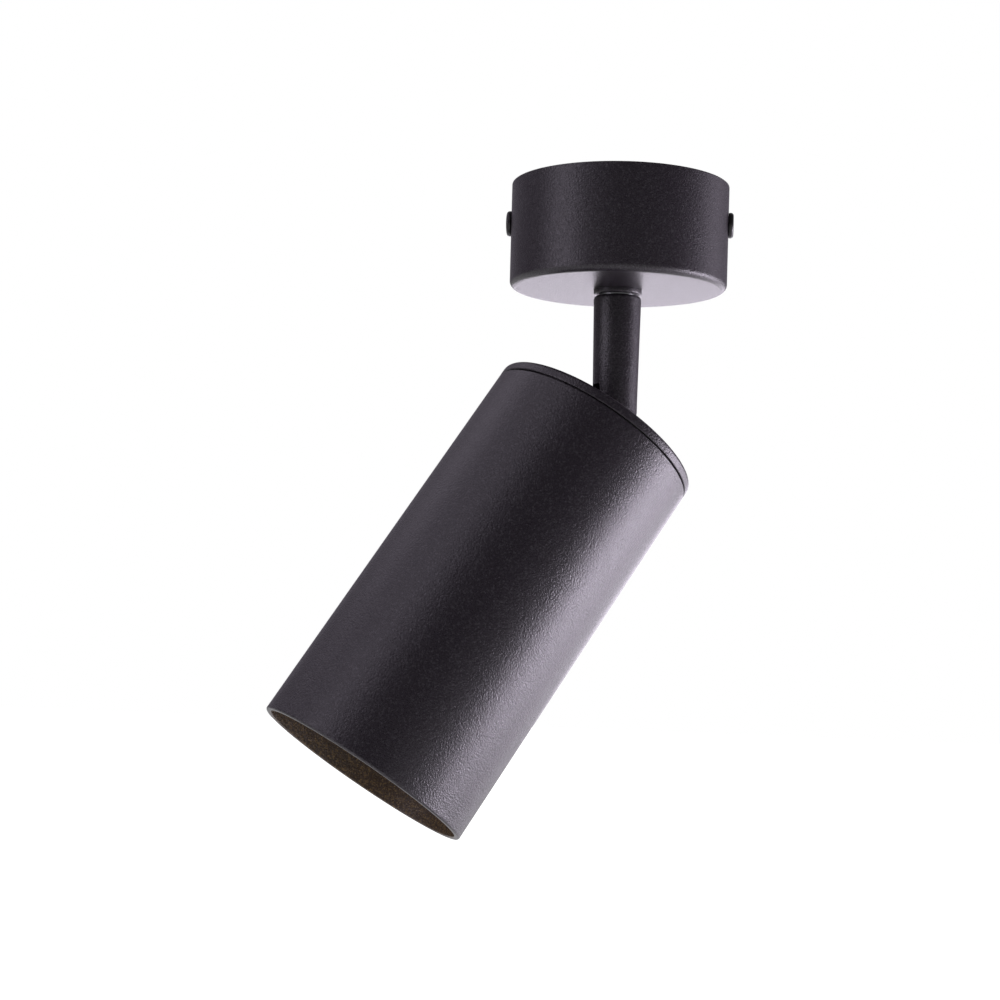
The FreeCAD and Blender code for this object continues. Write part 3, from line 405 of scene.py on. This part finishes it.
class LeadSettings(bpy.types.PropertyGroup):
    radius: FloatProperty(name="Lead Radius", description="Radius over the insulation", subtype="DISTANCE",
                          unit="LENGTH", min=0.0003, max=0.001, default=0.00065)
    sides: IntProperty(name="Sides", description="Faces round each lead", min=8, max=48, default=20)
    live: FloatVectorProperty(name="Live Colour", description="Insulation of the live leads", subtype="COLOR",
                              size=3, min=0, max=1, default=(0.13, 0.045, 0.022))
    neutral: FloatVectorProperty(name="Neutral Colour", description="Insulation of the neutral leads",
                                 subtype="COLOR", size=3, min=0, max=1, default=(0.025, 0.12, 0.42))
    green: FloatVectorProperty(name="Earth Green", description="First colour of the earth leads",
                               subtype="COLOR", size=3, min=0, max=1, default=(0.03, 0.25, 0.05))
    yellow: FloatVectorProperty(name="Earth Yellow", description="Second colour of the earth leads",
                                subtype="COLOR", size=3, min=0, max=1, default=(0.72, 0.56, 0.03))


class StageSettings(bpy.types.PropertyGroup):
    floor_drop: FloatProperty(name="Floor Drop", description="Floor below the ceiling plane", subtype="DISTANCE",
                              unit="LENGTH", min=0.2, max=3, default=0.55)
    focal_length: FloatProperty(name="Focal Length", description="Lens on a 36 mm wide sensor", min=20, max=200,
                                subtype="DISTANCE_CAMERA", default=65.05)
    light_colour: FloatVectorProperty(name="Light Colour", description="Colour of the studio lights",
                                      subtype="COLOR", size=3, min=0, max=1, default=(0.93, 0.85, 1.0))
    room_light: FloatProperty(name="Room Light", description="Strength of the light from all round", min=0,
                              max=3, default=0.42)
    front_shade: FloatProperty(name="Front Shade", description="What gloss shows of the dim side of the room",
                               subtype="FACTOR", min=0, max=1, default=0.08)
    back_shade: FloatProperty(name="Back Shade", description="What gloss shows of the pale side of the room",
                              subtype="FACTOR", min=0, max=1, default=0.25)


SETTINGS = (
    ("spotlight_coat", CoatSettings),
    ("spotlight_metal", MetalSettings),
    ("spotlight_leads", LeadSettings),
    ("spotlight_stage", StageSettings),
)


# name, azimuth and elevation in degrees, distance, width and height in metres, watts
SOFTBOXES = (
    ("light_right", 95, -20, 1.0, 0.30, 0.60, 10.5),
    ("light_right_back", 122, -20, 1.0, 0.45, 0.60, 4.3),
    ("light_right_high", 115, 15, 1.0, 0.60, 0.45, 0.9),
    ("light_back_right", 150, -20, 1.0, 0.45, 0.50, 1.1),
    ("light_back", 180, -5, 1.0, 0.60, 0.30, 1.4),
    ("light_left", 300, 10, 1.0, 0.28, 0.55, 1.7),
    ("light_left_wide", 290, 50, 1.1, 1.60, 0.80, 2.4),
    ("light_left_front", 320, 35, 1.0, 0.50, 0.45, 0.5),
    ("light_left_high", 240, 40, 1.0, 0.50, 0.50, 0.4),
)
OBJECT_MIDDLE = Vector((0, 0, -80 * MM))


# ---------------------------------------------------------------- operators
class SPOTLIGHT_OT_coated_parts(bpy.types.Operator):
    """Give the canopy, collar, stem, tongue, cap and tube their fine grained black coat"""

    bl_idname = "spotlight.coated_parts"
    bl_label = "Coated Parts"

    def execute(self, context):
        settings = context.scene.spotlight_coat
        paint(COATED, coat_material("black_powder_coat", settings)[0])
        paint(["head_tube"], tube_material("tube_powder_coat", settings))
        return {"FINISHED"}


class SPOTLIGHT_OT_metal_parts(bpy.types.Operator):
    """Finish the bare brass, zinc plated and black plated metal parts"""

    bl_idname = "spotlight.metal_parts"
    bl_label = "Metal Parts"

    def execute(self, context):
        metal = context.scene.spotlight_metal
        darker = tuple(0.72 * c for c in metal.zinc)
        paint(PLATED, satin_material("zinc_plate", metal.zinc, darker, 1.0, 0.34, 1300.0, 0.25))
        darker = tuple(0.7 * c for c in metal.brass)
        paint(BRASS, satin_material("bare_brass", metal.brass, darker, 1.0, 0.30, 1300.0, 0.3))
        darker = tuple(0.5 * c for c in metal.black)
        paint(BLACK_SCREWS, satin_material("black_plate", metal.black, darker, 0.0, 0.33, 2600.0))
        return {"FINISHED"}


class SPOTLIGHT_OT_moulded_parts(bpy.types.Operator):
    """Finish the terminal block, lampholder, washers, grommet and the lamp's own parts"""

    bl_idname = "spotlight.moulded_parts"
    bl_label = "Moulded Parts"

    def execute(self, context):
        paint(["terminal_block"], satin_material("white_nylon", (0.80, 0.79, 0.74), (0.72, 0.71, 0.66), 0.0, 0.42,
                                                 900.0))
        paint(["hinge_washers"], satin_material("black_nylon", (0.022, 0.022, 0.022), (0.012, 0.012, 0.012),
                                                0.0, 0.5, 1800.0))
        paint(["lead_grommet"], satin_material("black_rubber", (0.016, 0.016, 0.016), (0.010, 0.010, 0.010),
                                               0.0, 0.65, 1500.0))
        paint(["lampholder"], satin_material("fired_ceramic", (0.83, 0.81, 0.75), (0.70, 0.67, 0.60), 0.0, 0.7,
                                             1100.0, height=0.00002))
        paint(["lamp_base", "lamp_shell"], satin_material("lamp_moulding", (0.82, 0.82, 0.80),
                                                          (0.77, 0.77, 0.75), 0.0, 0.28, 700.0))
        paint(["lamp_board"], satin_material("white_board", (0.80, 0.80, 0.76), (0.70, 0.70, 0.62), 0.0, 0.4,
                                             1200.0))
        paint(["lamp_lens"], satin_material("frosted_lens", (0.93, 0.93, 0.91), (0.88, 0.88, 0.86), 0.0, 0.42,
                                            1600.0, height=0.00003, Transmission_Weight=0.85, IOR=1.49))
        return {"FINISHED"}


class SPOTLIGHT_OT_fixed_leads(bpy.types.Operator):
    """Colour the live and neutral leads that lie still"""

    bl_idname = "spotlight.fixed_leads"
    bl_label = "Fixed Leads"

    def execute(self, context):
        leads = context.scene.spotlight_leads
        for name, colour in (("live", leads.live), ("neutral", leads.neutral)):
            darker = tuple(0.75 * c for c in colour)
            material = satin_material(name + "_insulation", colour, darker, 0.0, 0.38, 2500.0)
            paint([part + "_lead_" + name for part in ("canopy", "stem", "head")], material)
        return {"FINISHED"}


class SPOTLIGHT_OT_earth_leads(bpy.types.Operator):
    """Build the two coloured earth leads that lie still"""

    bl_idname = "spotlight.earth_leads"
    bl_label = "Earth Leads"

    def execute(self, context):
        leads = context.scene.spotlight_leads
        material = striped_material("earth_insulation", leads.green, leads.yellow)
        for node, (body, route) in EARTH_ROUTES.items():
            mesh = lead_mesh(node + "_striped", route, leads.radius, leads.sides)
            keep_mesh(mesh.name, mesh, material, body, [node])
        return {"FINISHED"}


class SPOTLIGHT_OT_hinge_leads(bpy.types.Operator):
    """Build the three leads that cross the hinge, curved as they lie at rest"""

    bl_idname = "spotlight.hinge_leads"
    bl_label = "Hinge Leads"

    def execute(self, context):
        leads = context.scene.spotlight_leads
        for index, name in enumerate(("live", "neutral", "earth")):
            y = LEAD_PITCH * (index - 1)
            route = [stem_point(-1.4, y, 9.5), stem_point(-1.4, y, 7.0), stem_point(-5.0, y, 1.8),
                     head_point(-4.95, y, 1.62), head_point(-4.95, y, -7.75)]
            mesh = lead_mesh("hinge_lead_" + name + "_bent", route, leads.radius, leads.sides)
            material = bpy.data.materials[name + "_insulation"]
            piece = keep_mesh(mesh.name, mesh, material, None, ["hinge_lead_" + name])
            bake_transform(piece)
        return {"FINISHED"}


class SPOTLIGHT_OT_stage(bpy.types.Operator):
    """Build the pale floor, the studio lights and the camera"""

    bl_idname = "spotlight.stage"
    bl_label = "Stage"

    def execute(self, context):
        scene = context.scene
        settings = scene.spotlight_stage
        self.floor(settings)
        self.world(scene, settings)
        for softbox in SOFTBOXES:
            self.softbox(scene, settings, *softbox)
        camera = bpy.data.objects.new("camera", bpy.data.cameras.new("camera"))
        camera.data.lens = settings.focal_length
        camera.data.sensor_width = 36.0
        camera.data.clip_start = 0.01
        camera.matrix_world = (Matrix.Translation(CAMERA_PLACE)
                               @ Matrix.Rotation(CAMERA_TURN, 4, "Z")
                               @ Matrix.Rotation(math.pi / 2 + CAMERA_RISE, 4, "X")
                               @ Matrix.Rotation(CAMERA_ROLL, 4, "Z"))
        scene.collection.objects.link(camera)
        scene.camera = camera
        scene.view_settings.view_transform = "Standard"
        return {"FINISHED"}

    def softbox(self, scene, settings, name, azimuth, elevation, distance, width, height, watts):
        """Area light that faces the lamp; azimuth 0 is the camera's side and grows towards +X."""
        turn, rise = math.radians(azimuth), math.radians(elevation)
        way = Vector((math.sin(turn) * math.cos(rise), -math.cos(turn) * math.cos(rise), math.sin(rise)))
        light = bpy.data.lights.new(name, "AREA")
        light.shape = "RECTANGLE"
        light.size = width
        light.size_y = height
        light.energy = watts
        light.color = settings.light_colour
        lamp = bpy.data.objects.new(name, light)
        lamp.location = way * distance + OBJECT_MIDDLE
        lamp.rotation_euler = way.to_track_quat("Z", "Y").to_euler()
        lamp.visible_camera = False
        scene.collection.objects.link(lamp)

    def seen(self, t):
        """1 for rays that show the background: straight, reflected or through glass."""
        path = t.add("ShaderNodeLightPath").outputs
        either = t.math("MAXIMUM", path["Is Camera Ray"], path["Is Glossy Ray"])
        return t.math("MAXIMUM", either, path["Is Transmission Ray"]), path

    def floor(self, settings):
        bm = bmesh.new()
        bmesh.ops.create_grid(bm, x_segments=1, y_segments=1, size=6.0,
                              matrix=Matrix.Translation((0, 0, -settings.floor_drop)))
        mesh = bpy.data.meshes.new("floor")
        bm.to_mesh(mesh)
        bm.free()
        floor = bpy.data.objects.new("floor", mesh)
        bpy.context.scene.collection.objects.link(floor)
        material = bpy.data.materials.new("pale_floor")
        material.use_nodes = True
        material.node_tree.nodes.clear()
        t = Tree(material.node_tree)
        paint_shader = t.add("ShaderNodeBsdfDiffuse", {"Color": (0.8, 0.8, 0.8, 1)}).outputs[0]
        seen, path = self.seen(t)
        strength = t.remap(path["Is Camera Ray"], 0.0, 1.0, settings.back_shade, 1.0)
        glow = t.add("ShaderNodeEmission", {"Color": (1, 1, 1, 1), "Strength": strength}).outputs[0]
        shown = t.add("ShaderNodeAddShader", {0: paint_shader, 1: glow}).outputs[0]
        both = t.add("ShaderNodeMixShader", {0: seen, 1: paint_shader, 2: shown}).outputs[0]
        t.add("ShaderNodeOutputMaterial", {"Surface": both})
        mesh.materials.append(material)

    def world(self, scene, settings):
        world = bpy.data.worlds.new("studio")
        scene.world = world
        world.use_nodes = True
        world.node_tree.nodes.clear()
        t = Tree(world.node_tree)
        way = t.add("ShaderNodeTexCoord").outputs["Generated"]
        back = t.add("ShaderNodeSeparateXYZ", {0: way}).outputs[1]
        room = t.remap(back, 0.0, 0.9, settings.front_shade, settings.back_shade)
        seen, path = self.seen(t)
        white = t.math("MAXIMUM", room, path["Is Camera Ray"])
        light = t.add("ShaderNodeBackground", {"Color": (1, 1, 1, 1), "Strength": settings.room_light}).outputs[0]
        colour = t.mix(path["Is Camera Ray"], (*settings.light_colour, 1), (1, 1, 1, 1))
        shown = t.add("ShaderNodeBackground", {"Color": colour, "Strength": white}).outputs[0]
        both = t.add("ShaderNodeMixShader", {0: seen, 1: light, 2: shown}).outputs[0]
        t.add("ShaderNodeOutputWorld", {"Surface": both})


class SPOTLIGHT_PT_panel(bpy.types.Panel):
    """Lists the settings and the operators"""

    bl_idname = "SPOTLIGHT_PT_panel"
    bl_label = "Ceiling Spotlight"
    bl_space_type = "VIEW_3D"
    bl_region_type = "UI"
    bl_category = "Spotlight"

    def draw(self, context):
        layout = self.layout
        for name, settings in SETTINGS:
            box = layout.box()
            for label in settings.__annotations__:
                box.prop(getattr(context.scene, name), label)
        for operator in OPERATORS:
            layout.operator(operator.bl_idname)


OPERATORS = (
    SPOTLIGHT_OT_coated_parts,
    SPOTLIGHT_OT_metal_parts,
    SPOTLIGHT_OT_moulded_parts,
    SPOTLIGHT_OT_fixed_leads,
    SPOTLIGHT_OT_earth_leads,
    SPOTLIGHT_OT_hinge_leads,
    SPOTLIGHT_OT_stage,
)


def register():
    for name, settings in SETTINGS:
        bpy.utils.register_class(settings)
        setattr(bpy.types.Scene, name, PointerProperty(type=settings))
    for operator in OPERATORS:
        bpy.utils.register_class(operator)
    bpy.utils.register_class(SPOTLIGHT_PT_panel)


def unregister():
    bpy.utils.unregister_class(SPOTLIGHT_PT_panel)
    for operator in reversed(OPERATORS):
        bpy.utils.unregister_class(operator)
    for name, settings in reversed(SETTINGS):
        delattr(bpy.types.Scene, name)
        bpy.utils.unregister_class(settings)


def main():
    register()
    bpy.ops.spotlight.coated_parts()
    bpy.ops.spotlight.metal_parts()
    bpy.ops.spotlight.moulded_parts()
    bpy.ops.spotlight.fixed_leads()
    bpy.ops.spotlight.earth_leads()
    bpy.ops.spotlight.hinge_leads()
    bpy.ops.spotlight.stage()


if __name__ == "__main__":
    main()
